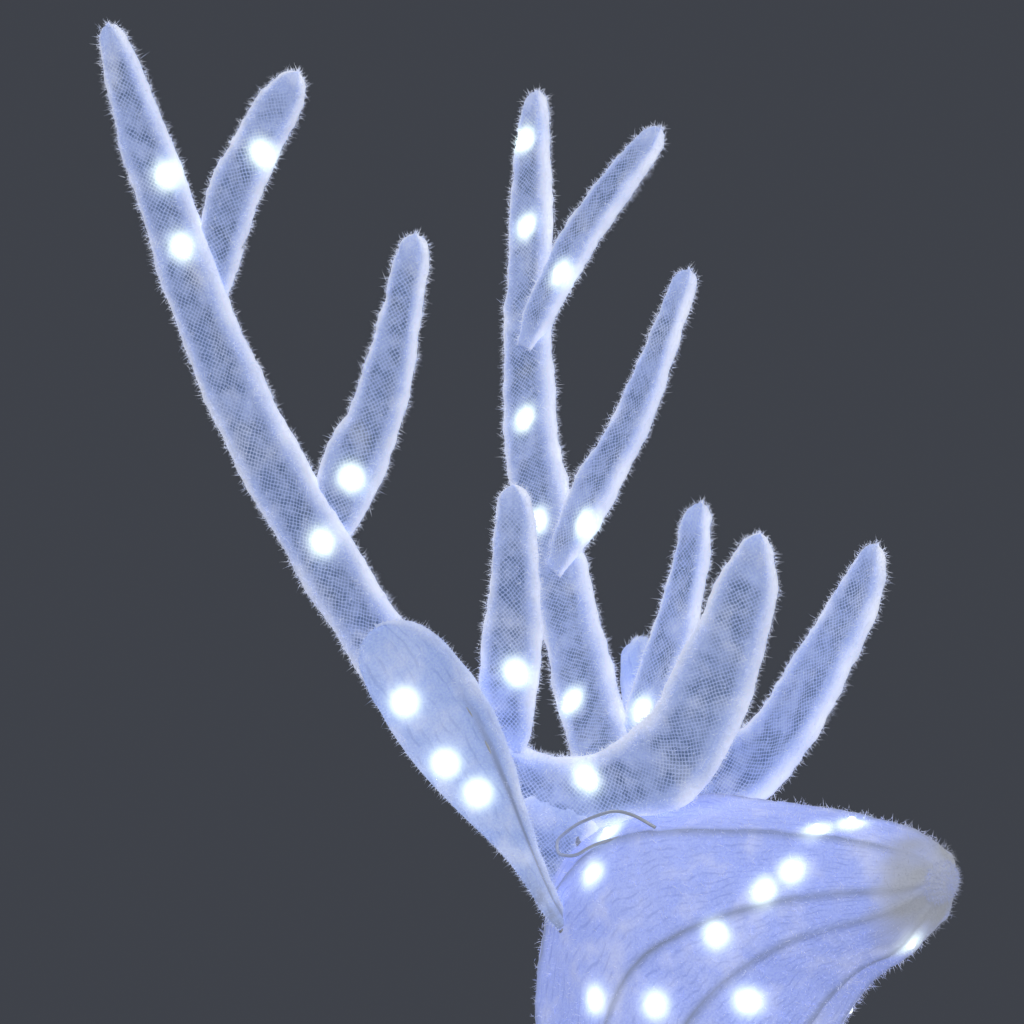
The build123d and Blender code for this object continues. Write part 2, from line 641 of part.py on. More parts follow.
def on_ear(side, s, share, lift=0.0, inset=0.0):
    """Point of the cupped ear blade: share runs from -1 at one edge to 1 at the other."""
    base, axis, face, across = ear_frame_axes(side)
    along = station_value([r[0] for r in EAR], s)
    half = station_value([r[1] for r in EAR], s) / 2 - inset
    cup = station_value([r[2] for r in EAR], s)
    sway = station_value([r[3] for r in EAR], s)
    point = base + axis * (along + EAR_STEM) + across * (half * share - side * sway)
    return point + face * (cup * share**2 - cup * 0.5 + lift)


def ear_ring(side, s, inset=0.0):
    half = EAR_HALF - inset
    shares = [-1 + k / 4 for k in range(9)]
    front = [on_ear(side, s, share, half * (1 - EAR_TAPER * abs(share)), inset) for share in shares]
    back = [on_ear(side, s, share, -half * (1 - EAR_TAPER * abs(share)), inset) for share in shares[::-1]]
    return front + back


def build_ear(name, side):
    last = len(EAR) - 1
    rings = [ear_ring(side, s) for s in range(last, -1, -1)]
    holes = [ear_ring(side, s, FABRIC) for s in range(last, -1, -1)]
    holes[0] = ear_ring(side, last - 0.12, FABRIC)
    save(f"ear_{name}_skin", sleeve(rings, holes, closed_tip=True))
    base, axis, face, _ = ear_frame_axes(side)
    stem = rod(base - axis * 20, base + axis * (EAR_STEM - 1), EAR_POST_R)
    edge = [(0.5, 0.35), (1, 0.45), *((s, EAR_WIRE_SHARE) for s in range(2, 7)), (6.4, 0.4)]
    route = [(s, -share) for s, share in edge] + [(6.5, 0)] + [(s, share) for s, share in edge[::-1]]
    loop = bent_wire([on_ear(side, s, share, 0, FABRIC + EAR_WIRE_R) for s, share in route], EAR_WIRE_R, 0.4)
    save(f"ear_{name}_wires", [stem, loop])
    bulbs = []
    for s, share in EAR_BULBS:
        place = on_ear(side, s, side * share, EAR_HALF * (1 - EAR_TAPER * share))
        bulbs.append(bulb(place, face, EAR_BULB_IN))
    save(f"ear_{name}_bulbs", bulbs)


build_torso()
build_head()
for name, side in (("left", 1), ("right", -1)):
    build_antler(name, side)
    build_ear(name, side)
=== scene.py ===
"""The looks of the light-up yard reindeer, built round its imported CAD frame.

Tables of sizes are in millimetres, in the frame of the animal: X forward, Y to its left, Z up.
metres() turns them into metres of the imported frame.
"""

from math import cos, pi, radians, sin

import bpy
import numpy as np
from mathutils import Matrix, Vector


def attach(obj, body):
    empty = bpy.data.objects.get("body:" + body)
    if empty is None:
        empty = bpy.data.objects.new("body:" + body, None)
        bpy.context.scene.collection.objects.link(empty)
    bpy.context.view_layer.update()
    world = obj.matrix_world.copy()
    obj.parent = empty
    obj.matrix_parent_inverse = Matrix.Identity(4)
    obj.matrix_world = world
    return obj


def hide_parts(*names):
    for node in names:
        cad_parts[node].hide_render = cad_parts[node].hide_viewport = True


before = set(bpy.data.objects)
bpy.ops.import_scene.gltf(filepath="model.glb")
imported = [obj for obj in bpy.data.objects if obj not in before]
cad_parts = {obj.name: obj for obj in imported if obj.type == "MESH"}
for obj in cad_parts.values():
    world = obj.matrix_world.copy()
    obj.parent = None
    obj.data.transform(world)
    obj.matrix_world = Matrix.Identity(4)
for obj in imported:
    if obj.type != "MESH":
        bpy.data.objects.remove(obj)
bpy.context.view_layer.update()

MM = 0.001
CENTRING = np.array([-37.0, 0.0, 0.0])
ROOT = np.array([250.0, 0.0, 1110.0])  # the middle between the antler roots
ANTLER_Y = 27.0
ANTLER_YAW = radians(9.4)
ANTLER_TILT = radians(16)
SLEEVE_HALF = 4.2  # half the thickness of an antler's sleeve
SLEEVE_END = 7.0  # length over which the end of an antler's sleeve rounds off
EAR_HALF = 4.6  # half the thickness of an ear
EAR_STEM = 10.0  # from the ear's pivot to the root of its blade
FIBRE_WIDTH = 0.13
BODY_FIBRE_WIDTH = 0.14
SHORTEST_FIBRE = 0.9
MESH_PITCH = 0.0018  # metres between the yarns of the open mesh
GLOW_REACH = 7.8  # how far the light of a bulb spreads in the fabric
ANTLER_GLOW_REACH = 8.0
FLOOR_HALF = 60.0  # metres

# Slices across the body: X and Z of the top or back point, X and Z of the bottom or front point,
# half width. Those of the head are measured from the point between the antler roots.
HEAD = np.array([
    (200, -22, 197, -34, 9), (195, -12, 187, -50, 21), (184, -5, 176, -62, 31), (161, 2, 157, -72, 38),
    (128, 8, 140, -84, 45), (89, 13, 127, -101, 51), (48, 17, 118, -122, 56), (8, 14, 112, -147, 60),
    (-22, -4, 107, -176, 61), (-36, -45, 102, -206, 60), (-37, -100, 96, -234, 59),
    (-39, -160, 91, -258, 60), (-46, -220, 88, -279, 64), (-57, -270, 86, -298, 68),
    (-62, -312, 88, -312, 72),
], dtype=float)
HEAD[:, [0, 2]] += ROOT[0]
HEAD[:, [1, 3]] += ROOT[2]
TORSO = np.array([
    (-338, 700, -341, 655, 28), (-325, 738, -330, 590, 66), (-270, 764, -278, 528, 96),
    (-170, 768, -172, 502, 108), (-50, 758, -50, 488, 110), (60, 757, 75, 474, 111),
    (120, 764, 185, 476, 108), (152, 774, 268, 512, 102), (172, 782, 318, 578, 94),
    (184, 789, 338, 660, 84), (188, 793, 340, 735, 76), (188, 797, 338, 797, 72),
], dtype=float)
TAIL = np.array([
    (-378, 733, -386, 728, 5), (-368, 738, -388, 714, 12), (-356, 728, -374, 690, 16),
    (-342, 698, -345, 660, 14),
], dtype=float)
# Leg slices: X, Z, half length, half width, Y.
FRONT_LEG = np.array([
    (200, 640, 60, 34, 58), (204, 545, 54, 34, 61), (206, 452, 37, 27, 62), (207, 380, 28, 23, 62),
    (208, 300, 22, 20, 62), (209, 262, 23, 20, 62), (208, 220, 19, 17, 62), (207, 120, 16, 15, 62),
    (209, 75, 19, 17, 62), (214, 48, 21, 18, 62),
], dtype=float)
REAR_LEG = np.array([
    (-250, 700, 58, 30, 54), (-252, 610, 74, 40, 60), (-258, 525, 60, 36, 65), (-266, 452, 42, 30, 66),
    (-280, 385, 32, 25, 66), (-297, 325, 24, 20, 66), (-307, 280, 23, 19, 66), (-305, 235, 20, 17, 66),
    (-297, 130, 17, 15, 66), (-293, 78, 19, 17, 66), (-288, 48, 21, 18, 66),
], dtype=float)
# Antler members in the antler's plane: forward, up, full width, and bow out of the plane.
CRESCENT = np.array([
    (-208, 419, 9, 0), (-204.5, 398, 20, 0), (-196.5, 362, 28, 1), (-187, 322, 31, 2.5),
    (-178, 282, 33, 3.5), (-166.5, 244, 35, 4.5), (-152.5, 206, 37, 5.5), (-131, 165, 37, 9),
    (-107, 121, 37, 12), (-82, 80, 39, 12), (-57, 48, 39, 9), (-30, 26, 37, 5), (0, 19, 36, 3),
    (30, 25, 40, 5), (56, 36, 45, 8), (74, 55, 44, 8.5), (87, 76, 41, 7), (99, 97, 38, 6),
    (112, 124, 29, 5), (120, 147, 10, 2),
], dtype=float)
TINES = {
    "top": np.array([
        (-103, 388, 10, 0), (-111, 378, 19, 0), (-121, 367, 24, 0), (-139, 344, 26, 0), (-148.5, 331, 27, 0),
        (-156, 316, 27, 0), (-163, 300, 25, 0), (-169, 285, 20, 0), (-174, 271, 12, 1),
    ], dtype=float),
    "middle": np.array([
        (-52, 303, 10, -5), (-55, 293, 16, -4.5), (-64, 266, 21, -2), (-73.5, 239, 25, 0.5),
        (-84.5, 214, 29, 2.5), (-98, 193, 33, 4), (-107, 177, 31, 6), (-115, 161, 25, 7), (-122, 146, 14, 8),
    ], dtype=float),
    "lower": np.array([
        (-13, 176, 10, 1), (-14, 165, 18, 1), (-15, 146, 24, 4), (-18, 120, 28, 6), (-22, 98, 32, 7.5),
        (-26, 82, 33, 8), (-29, 68, 30, 8), (-30, 54, 24, 8), (-31, 42, 14, 8),
    ], dtype=float),
}
# The crescent is one piece over the beam and the brow; the web closes the gap between it and the head.
WEB = np.array([(-9, 16, 50, 3), (-13, 4, 44, 2), (-17, -12, 34, 1), (-22, -34, 24, 0)], dtype=float)
MEMBERS = {"crescent": CRESCENT, "web": WEB, **TINES}
SKINS = {"crescent": ("beam", "brow"), "web": ()}
SLEEVE_HALVES = {"web": 7.0}
# Ear blade, from root to tip: distance along it, full width, depth of its cup, and its sway to the front.
EAR = np.array([
    (-15, 7, 1, 0), (-7, 9, 1, 0), (0, 10, 1, 0), (14, 12, 2, 1.5), (34, 19, 4, 3), (62, 34, 8, 4),
    (92, 46, 11, 5), (120, 47, 10, 5), (144, 39, 6, 3.5), (160, 20, 2, 1.5),
], dtype=float)
# Distances from the front end over which the grey of the gathered nose fades out.
NOSE_FADE = (9.0, 34.0)
# Angles of the long wires in degrees, and the stations of the rings. Over each, a grey line is painted on the
# fabric, partly the wire showing through and partly its painted shadow.
HEAD_RIBS = (90, 45, 0, 335, 285, 255, 205, 180, 135)
BODY_RIBS = (90, 45, 0, 330, 270, 210, 180, 135)
LEG_RIBS = (0, 180)
TAIL_RIBS = (90, 270)
BODY_HOOPS = (2.5, 4, 5.6, 7.5)


# ---------------------------------------------------------------- small tools
def metres(points):
    return (np.asarray(points, dtype=float) + CENTRING) * MM


def unit(v):
    v = np.asarray(v, dtype=float)
    return v / np.linalg.norm(v, axis=-1, keepdims=True)


def smooth_rows(rows, s):
    """Catmull-Rom values of a table at station numbers s, one row for each s."""
    s = np.asarray(s, dtype=float)
    i = np.clip(s.astype(int), 0, len(rows) - 2)
    t = (s - i)[:, None]
    last = len(rows) - 1
    a, b = rows[np.clip(i - 1, 0, last)], rows[i]
    c, d = rows[i + 1], rows[np.clip(i + 2, 0, last)]
    return 0.5 * (2 * b + (c - a) * t + (2 * a - 5 * b + 4 * c - d) * t**2 + (3 * b - a - 3 * c + d) * t**3)


def even_stations(rows, columns, pitch):
    """Station numbers spaced evenly along the line through the named columns, and the distances along it."""
    fine = np.linspace(0, len(rows) - 1, 40 * len(rows))
    line = smooth_rows(rows, fine)[:, columns]
    run = np.concatenate([[0], np.cumsum(np.linalg.norm(np.diff(line, axis=0), axis=1))])
    count = max(int(run[-1] / pitch), 4)
    along = np.linspace(0, run[-1], count)
    return np.interp(along, run, fine), along


def ellipse_point(rows, s, angle):
    """Points of a body at stations s and angles in degrees: 90 is the top or back, 0 the left side."""
    r = smooth_rows(rows, s)
    a = np.radians(np.asarray(angle, dtype=float))
    top = np.stack([r[:, 0], 0 * r[:, 0], r[:, 1]], axis=1)
    low = np.stack([r[:, 2], 0 * r[:, 0], r[:, 3]], axis=1)
    middle, up = (top + low) / 2, (top - low) / 2
    side = r[:, 4][:, None] * np.cos(a)[None, :]
    points = middle[:, None, :] + up[:, None, :] * np.sin(a)[None, :, None]
    points[..., 1] += side
    return points


def leg_point(rows, s, angle):
    """Points of a leg at stations s and angles in degrees: 0 is the front."""
    r = smooth_rows(rows, s)
    a = np.radians(np.asarray(angle, dtype=float))[None, :]
    x = r[:, 0][:, None] + r[:, 2][:, None] * np.cos(a)
    y = r[:, 4][:, None] + r[:, 3][:, None] * np.sin(a)
    return np.stack([x, y, np.repeat(r[:, 1][:, None], a.shape[1], axis=1)], axis=-1)


def taut(grid, angles, ribs, rib_points, share):
    """Pulls a ring grid towards the straight chords between neighbouring ribs, as stretched fabric does."""
    ribs, rib_points = np.asarray(ribs) % 360, np.asarray(rib_points)
    ranked = np.argsort(ribs)
    ribs, rib_points = ribs[ranked], rib_points[:, ranked]
    result = grid.copy()
    for j, angle in enumerate(np.asarray(angles) % 360):
        k = (int(np.searchsorted(ribs, angle, side="right")) - 1) % len(ribs)
        following = (k + 1) % len(ribs)
        span = (ribs[following] - ribs[k]) % 360
        t = ((angle - ribs[k]) % 360) / span
        chord = rib_points[:, k] * (1 - t) + rib_points[:, following] * t
        result[:, j] = grid[:, j] * (1 - share) + chord * share
    return result


def wave_noise(points, size, seed):
    """Smooth pseudo-random values between about -1 and 1, from a few sine waves of the given size."""
    rng = np.random.default_rng(seed)
    total = np.zeros(points.shape[:-1])
    for _ in range(7):
        direction = unit(rng.normal(size=3)) * 2 * pi / (size * rng.uniform(0.6, 1.6))
        total += np.sin(points @ direction + rng.uniform(0, 2 * pi))
    return total / 3.5


def grid_normals(grid):
    """Outward normals of a grid of points, rows along the piece and columns round it."""
    along = np.gradient(grid, axis=0)
    around = (np.roll(grid, -1, axis=1) - np.roll(grid, 1, axis=1)) / 2
    normal = np.cross(along, around)
    length = np.linalg.norm(normal, axis=-1, keepdims=True)
    normal = normal / np.maximum(length, 1e-9)
    outward = grid - grid.mean(axis=1, keepdims=True)
    if (normal * outward).sum() < 0:
        normal = -normal
    return normal


def quarter_round(t):
    """0 at 0 and 1 at 1, rising as a quarter circle."""
    return t * (2 - t)


class Piece:
    """Vertices, faces and per-vertex values of one mesh piece, gathered before it is made."""

    def __init__(self, name):
        self.name = name
        self.points, self.faces, self.uv = [], [], []
        self.values = {"open": [], "wire": [], "tint": [], "nose": []}
        self.count = 0

    def add(self, points, faces, uv, **values):
        points = np.asarray(points).reshape(-1, 3)
        self.faces += [tuple(int(k) + self.count for k in face) for face in faces]
        self.points.append(points)
        self.uv.append(np.asarray(uv, dtype=float).reshape(-1, 2))
        for key, store in self.values.items():
            value = values.get(key, 0.0)
            store.append(np.broadcast_to(np.asarray(value, dtype=float).reshape(-1), (len(points),)).copy())
        self.count += len(points)

    def add_grid(self, grid, uv, cap_start=False, cap_end=False, **values):
        """A grid of points as quads, rows along the piece and columns round it."""
        rows, columns = grid.shape[:2]
        faces = []
        for i in range(rows - 1):
            a, b = i * columns, (i + 1) * columns
            faces += [(a + j, b + j, b + (j + 1) % columns, a + (j + 1) % columns) for j in range(columns)]
        if cap_start:
            faces.append(tuple(range(columns)))
        if cap_end:
            faces.append(tuple(range((rows - 1) * columns, rows * columns))[::-1])
        self.add(grid, faces, uv, **values)

    def fuzz(self, points, normals, uv, lengths, width, rng, **values):
        """Short loose fibres of yarn: slim three-sided spikes that stand off the fabric."""
        count = len(points)
        lean = unit(normals + rng.normal(scale=0.55, size=(count, 3)))
        side = unit(np.cross(lean, rng.normal(size=(count, 3))))
        other = np.cross(lean, side)
        base = points - normals * width
        curl = rng.normal(scale=0.25, size=(count, 3)) * lengths[:, None]
        corners = [base + side * width, base - side * width * 0.5 + other * width * 0.87,
                   base - side * width * 0.5 - other * width * 0.87, base + lean * lengths[:, None] + curl]
        stacked = np.stack(corners, axis=1).reshape(-1, 3)
        faces = []
        for k in range(count):
            a = 4 * k
            faces += [(a, a + 1, a + 3), (a + 1, a + 2, a + 3), (a + 2, a, a + 3), (a + 2, a + 1, a)]
        spread = {key: np.repeat(np.asarray(v, dtype=float), 4) for key, v in values.items()}
        self.add(stacked, faces, np.repeat(np.asarray(uv), 4, axis=0), **spread)

    def make(self, bulbs, material, body, slot, replaces):
        """Makes the mesh object, with the light of the nearest bulbs as one more value."""
        points = np.concatenate(self.points)
        mesh = bpy.data.meshes.new(self.name)
        mesh.from_pydata(points.tolist(), [], self.faces)
        mesh.update()
        mesh.polygons.foreach_set("use_smooth", np.ones(len(mesh.polygons), dtype=bool))
        for key, store in self.values.items():
            layer = mesh.attributes.new(key, "FLOAT", "POINT")
            layer.data.foreach_set("value", np.concatenate(store).astype(np.float32))
        layer = mesh.attributes.new("glow", "FLOAT", "POINT")
        layer.data.foreach_set("value", bulb_light(points, bulbs).astype(np.float32))
        uv = np.concatenate(self.uv)
        corner = np.empty(len(mesh.loops), dtype=np.int32)
        mesh.loops.foreach_get("vertex_index", corner)
        layer = mesh.uv_layers.new(name="weave")
        layer.data.foreach_set("uv", uv[corner].astype(np.float32).reshape(-1))
        mesh.materials.append(material)
        obj = bpy.data.objects.new(self.name, mesh)
        bpy.context.scene.collection.objects.link(obj)
        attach(obj, body)
        if replaces:
            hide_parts(*replaces)


def bulb_light(points, bulbs):
    """How brightly each point is lit by the bulbs: 1 at a bulb, falling off over its reach."""
    light = np.zeros(len(points))
    for place, reach in bulbs:
        gap = ((points - place) ** 2).sum(axis=1)
        light = np.maximum(light, np.exp(-gap / (reach * MM) ** 2))
    return light


def bulb_places(node, reach=GLOW_REACH):
    """The middle of every bulb of a CAD node, where it passes through the fabric."""
    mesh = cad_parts[node].data
    parent = list(range(len(mesh.vertices)))

    def root(k):
        while parent[k] != k:
            parent[k] = parent[parent[k]]
            k = parent[k]
        return k

    points = np.empty(3 * len(mesh.vertices))
    mesh.vertices.foreach_get("co", points)
    points = points.reshape(-1, 3)
    seen = {}
    for k, p in enumerate(np.round(points, 5)):
        first = seen.setdefault(tuple(p), k)
        parent[root(k)] = root(first)
    for face in mesh.polygons:
        first = face.vertices[0]
        for other in face.vertices[1:]:
            parent[root(other)] = root(first)
    groups = {}
    for k in range(len(points)):
        groups.setdefault(root(k), []).append(points[k])
    return [((np.min(g, axis=0) + np.max(g, axis=0)) / 2, reach) for g in groups.values() if len(g) > 8]


# ---------------------------------------------------------------- materials
class Tree:
    """A material's node tree with short helpers."""

    def __init__(self, name):
        self.material = bpy.data.materials.new(name)
        self.material.use_nodes = True
        self.nodes, self.links = self.material.node_tree.nodes, self.material.node_tree.links
        self.shader = self.nodes["Principled BSDF"]

    def put(self, value, socket):
        if isinstance(value, bpy.types.NodeSocket):
            self.links.new(value, socket)
        elif isinstance(value, tuple) and len(value) == 3 and socket.type == "RGBA":
            socket.default_value = (*value, 1.0)
        else:
            socket.default_value = value

    def attribute(self, name):
        node = self.nodes.new("ShaderNodeAttribute")
        node.attribute_name = name
        return node.outputs["Fac"]

    def math(self, operation, a, b=0.0, c=0.0, clamp=False):
        node = self.nodes.new("ShaderNodeMath")
        node.operation = operation
        node.use_clamp = clamp
        for value, socket in zip((a, b, c), node.inputs):
            self.put(value, socket)
        return node.outputs[0]

    def mix(self, share, a, b):
        node = self.nodes.new("ShaderNodeMix")
        node.data_type = "RGBA"
        self.put(share, node.inputs["Factor"])
        colours = [socket for socket in node.inputs if socket.type == "RGBA"]
        self.put(a, colours[0])
        self.put(b, colours[1])
        return [socket for socket in node.outputs if socket.type == "RGBA"][0]

    def noise(self, vector, scale, detail=2.0, rough=0.5):
        node = self.nodes.new("ShaderNodeTexNoise")
        self.put(vector, node.inputs["Vector"])
        node.inputs["Scale"].default_value = scale
        node.inputs["Detail"].default_value = detail
        node.inputs["Roughness"].default_value = rough
        return node.outputs["Fac"]

    def uv(self):
        node = self.nodes.new("ShaderNodeUVMap")
        node.uv_map = "weave"
        return node.outputs["UV"]

    def place(self):
        return self.nodes.new("ShaderNodeTexCoord").outputs["Object"]

    def split(self, vector):
        node = self.nodes.new("ShaderNodeSeparateXYZ")
        self.put(vector, node.inputs[0])
        return node.outputs

    def step(self, value, low, high):
        """0 below low, 1 above high and smooth between."""
        node = self.nodes.new("ShaderNodeMapRange")
        node.interpolation_type = "SMOOTHSTEP"
        self.put(value, node.inputs["Value"])
        node.inputs["From Min"].default_value = low
        node.inputs["From Max"].default_value = high
        return node.outputs["Result"]

    def bump(self, height, strength, distance):
        node = self.nodes.new("ShaderNodeBump")
        node.inputs["Strength"].default_value = strength
        node.inputs["Distance"].default_value = distance
        self.put(height, node.inputs["Height"])
        self.put(node.outputs[0], self.shader.inputs["Normal"])

    def set(self, **values):
        names = {key.replace("_", " "): value for key, value in values.items()}
        for key, value in names.items():
            self.put(value, self.shader.inputs[key])


def fabric(name, colour, shade, mesh_dark, grey, own_light, line_pitch, line_share):
    """Knitted fabric lit from inside. Its vertex values say where the mesh is open, where a grey line
    is painted over a wire behind it, partly the wire showing through and partly its painted shadow,
    where shade is painted in creases, where it is paler or darker (its own tone, and highlights
    painted on rims and hems), where it is the grey of the nose, and how near a bulb is."""
    t = Tree(name)
    uv, place = t.uv(), t.place()
    u, v, _ = t.split(uv)
    drift = t.noise(uv, 38.0, 2.0)
    phase = t.math("MULTIPLY_ADD", u, 2 * pi / line_pitch, t.math("MULTIPLY", drift, 16.0))
    line = t.step(t.math("SINE", phase), 0.55, 0.98)
    broken = t.step(t.noise(uv, 95.0, 3.0), 0.40, 0.60)
    line = t.math("MULTIPLY", line, broken)
    pitch = pi / (1.41 * MESH_PITCH)
    wobble = t.math("MULTIPLY", t.noise(uv, 160.0, 1.0), 3.0)
    one = t.math("SINE", t.math("MULTIPLY_ADD", t.math("ADD", u, v), pitch, wobble))
    two = t.math("SINE", t.math("MULTIPLY_ADD", t.math("SUBTRACT", u, v), pitch, wobble))
    hole = t.step(t.math("ABSOLUTE", t.math("MULTIPLY", one, two)), 0.12, 0.55)
    yarn = t.noise(place, 900.0, 3.0, 0.65)
    cloud = t.noise(place, 55.0, 3.0)
    streak = t.step(t.noise(uv, 130.0, 3.0, 0.6), 0.40, 0.62)
    base = t.mix(t.math("MULTIPLY", line, line_share), colour, shade)
    base = t.mix(t.math("MULTIPLY", t.step(yarn, 0.42, 0.62), 0.5), base, shade)
    base = t.mix(t.math("MULTIPLY", t.step(cloud, 0.45, 0.75), 0.22), base, (1.0, 1.0, 1.0))
    streaky = t.math("MULTIPLY_ADD", streak, 0.45, 0.6)
    deep = t.math("MULTIPLY", streaky, t.math("MULTIPLY_ADD", hole, 0.75, 0.25))
    share = t.math("MULTIPLY", t.attribute("open"), deep, clamp=True)
    base = t.mix(share, base, mesh_dark)
    # Painted shade: grey over the lines of the wires (partly the wire showing through, partly its painted
    # shadow), in creases and at the ear roots.
    base = t.mix(t.math("MULTIPLY", t.attribute("wire"), 1.0, clamp=True), base, grey)
    # Paler where the fabric's own tone is paler and where a highlight is painted on rims and hems; darker
    # where its tone is darker.
    tint = t.attribute("tint")
    base = t.mix(t.math("MULTIPLY", tint, 0.7, clamp=True), base, (0.93, 0.95, 1.0))
    base = t.mix(t.math("MULTIPLY", tint, -0.6, clamp=True), base, shade)
    glow = t.attribute("glow")
    base = t.mix(t.attribute("nose"), base, t.mix(yarn, (0.27, 0.29, 0.35), (0.42, 0.44, 0.50)))
    base = t.mix(t.step(glow, -0.02, 0.85), base, (0.84, 0.99, 0.98))
    t.set(Base_Color=base, Roughness=0.85, Emission_Color=base)
    t.shader.inputs["Sheen Weight"].default_value = 0.25
    t.shader.inputs["Sheen Roughness"].default_value = 0.5
    t.shader.inputs["Specular IOR Level"].default_value = 0.15
    t.put(t.math("MULTIPLY_ADD", glow, 0.9, own_light), t.shader.inputs["Emission Strength"])
    height = t.math("MULTIPLY_ADD", hole, t.math("MULTIPLY", t.attribute("open"), -0.8), yarn)
    t.bump(t.math("MULTIPLY_ADD", line, -0.6, height), 0.5, 0.0005)
    return t.material


def bulb_material():
    t = Tree("bulb_lens")
    t.set(Base_Color=(0.9, 0.97, 1.0), Roughness=0.12)
    spark = t.noise(t.place(), 700.0)
    t.put(t.mix(spark, (0.88, 1.0, 1.0), (1.0, 1.0, 0.94)), t.shader.inputs["Emission Color"])
    t.shader.inputs["Emission Strength"].default_value = 1.3
    return t.material


def wire_material(name, colour, rough):
    t = Tree(name)
    grain = t.noise(t.place(), 420.0, 4.0)
    worn = t.step(t.noise(t.place(), 60.0, 3.0), 0.55, 0.7)
    darker = tuple(0.72 * c for c in colour)
    grainy = t.mix(t.math("MULTIPLY", grain, 0.4), colour, darker)
    t.put(t.mix(t.math("MULTIPLY", worn, 0.5), grainy, darker), t.shader.inputs["Base Color"])
    t.put(t.math("MULTIPLY_ADD", grain, 0.25, rough), t.shader.inputs["Roughness"])
    t.bump(grain, 0.2, 0.0002)
    return t.material


def lead_material():
    t = Tree("clear_lead")
    grain = t.noise(t.place(), 150.0, 2.0)
    t.put(t.mix(grain, (0.50, 0.55, 0.66), (0.74, 0.79, 0.90)), t.shader.inputs["Base Color"])
    t.set(Roughness=0.15)
    t.shader.inputs["Coat Weight"].default_value = 0.5
    return t.material


def floor_material():
    t = Tree("floor")
    speck = t.noise(t.place(), 3.0, 4.0)
    t.put(t.mix(speck, (0.50, 0.51, 0.54), (0.54, 0.55, 0.58)), t.shader.inputs["Base Color"])
    t.set(Roughness=0.9)
    return t.material


# Linear colours: the knit of head and body is a lavender blue, the mesh of the antlers paler and greyer.
BODY_KNIT = fabric("body_knit", colour=(0.38, 0.465, 0.94), shade=(0.25, 0.32, 0.72),
                   mesh_dark=(0.20, 0.25, 0.45), grey=(0.19, 0.23, 0.36),
                   own_light=0.52, line_pitch=0.0048, line_share=0.65)
ANTLER_KNIT = fabric("antler_knit", colour=(0.42, 0.51, 0.83), shade=(0.26, 0.34, 0.62),
                     mesh_dark=(0.09, 0.14, 0.28), grey=(0.24, 0.29, 0.45),
                     own_light=0.50, line_pitch=0.0060, line_share=0.2)
EAR_KNIT = fabric("ear_knit", colour=(0.36, 0.46, 0.78), shade=(0.24, 0.32, 0.60),
                  mesh_dark=(0.20, 0.25, 0.45), grey=(0.20, 0.24, 0.38),
                  own_light=0.50, line_pitch=0.0052, line_share=0.6)
BULB = bulb_material()
WIRE = wire_material("frame_wire", (0.62, 0.64, 0.68), 0.35)
STEEL = wire_material("socket_steel", (0.55, 0.57, 0.60), 0.4)
PLASTIC = wire_material("moulded_plastic", (0.70, 0.73, 0.80), 0.45)
LEAD = lead_material()


# ---------------------------------------------------------------- sleeves of head and body
def ring_values(rib_points, grid, hoops, along, width=2.3):
    """How strongly a grey line is painted over a wire behind the fabric at each point of a grid, from 0 to 1:
    partly the wire showing through, partly its painted shadow.
    """
    gap = np.full(grid.shape[:2], 1e9)
    for k in range(rib_points.shape[1]):
        gap = np.minimum(gap, np.linalg.norm(grid - rib_points[:, k][:, None, :], axis=2))
    for place in hoops:
        gap = np.minimum(gap, np.abs(along - place)[:, None])
    return np.exp(-((gap / width) ** 2))


def nose_values(grid, along, seed):
    """How grey the gathered front end of the head is, from 0 to 1."""
    near, far = NOSE_FADE
    plain = np.clip((far - along) / (far - near), 0, 1)[:, None]
    patch_reach = np.clip((1.6 * far - along) / far, 0, 1)[:, None]
    return np.clip(plain + 0.25 * wave_noise(grid, 16.0, seed) * patch_reach, 0, 1)


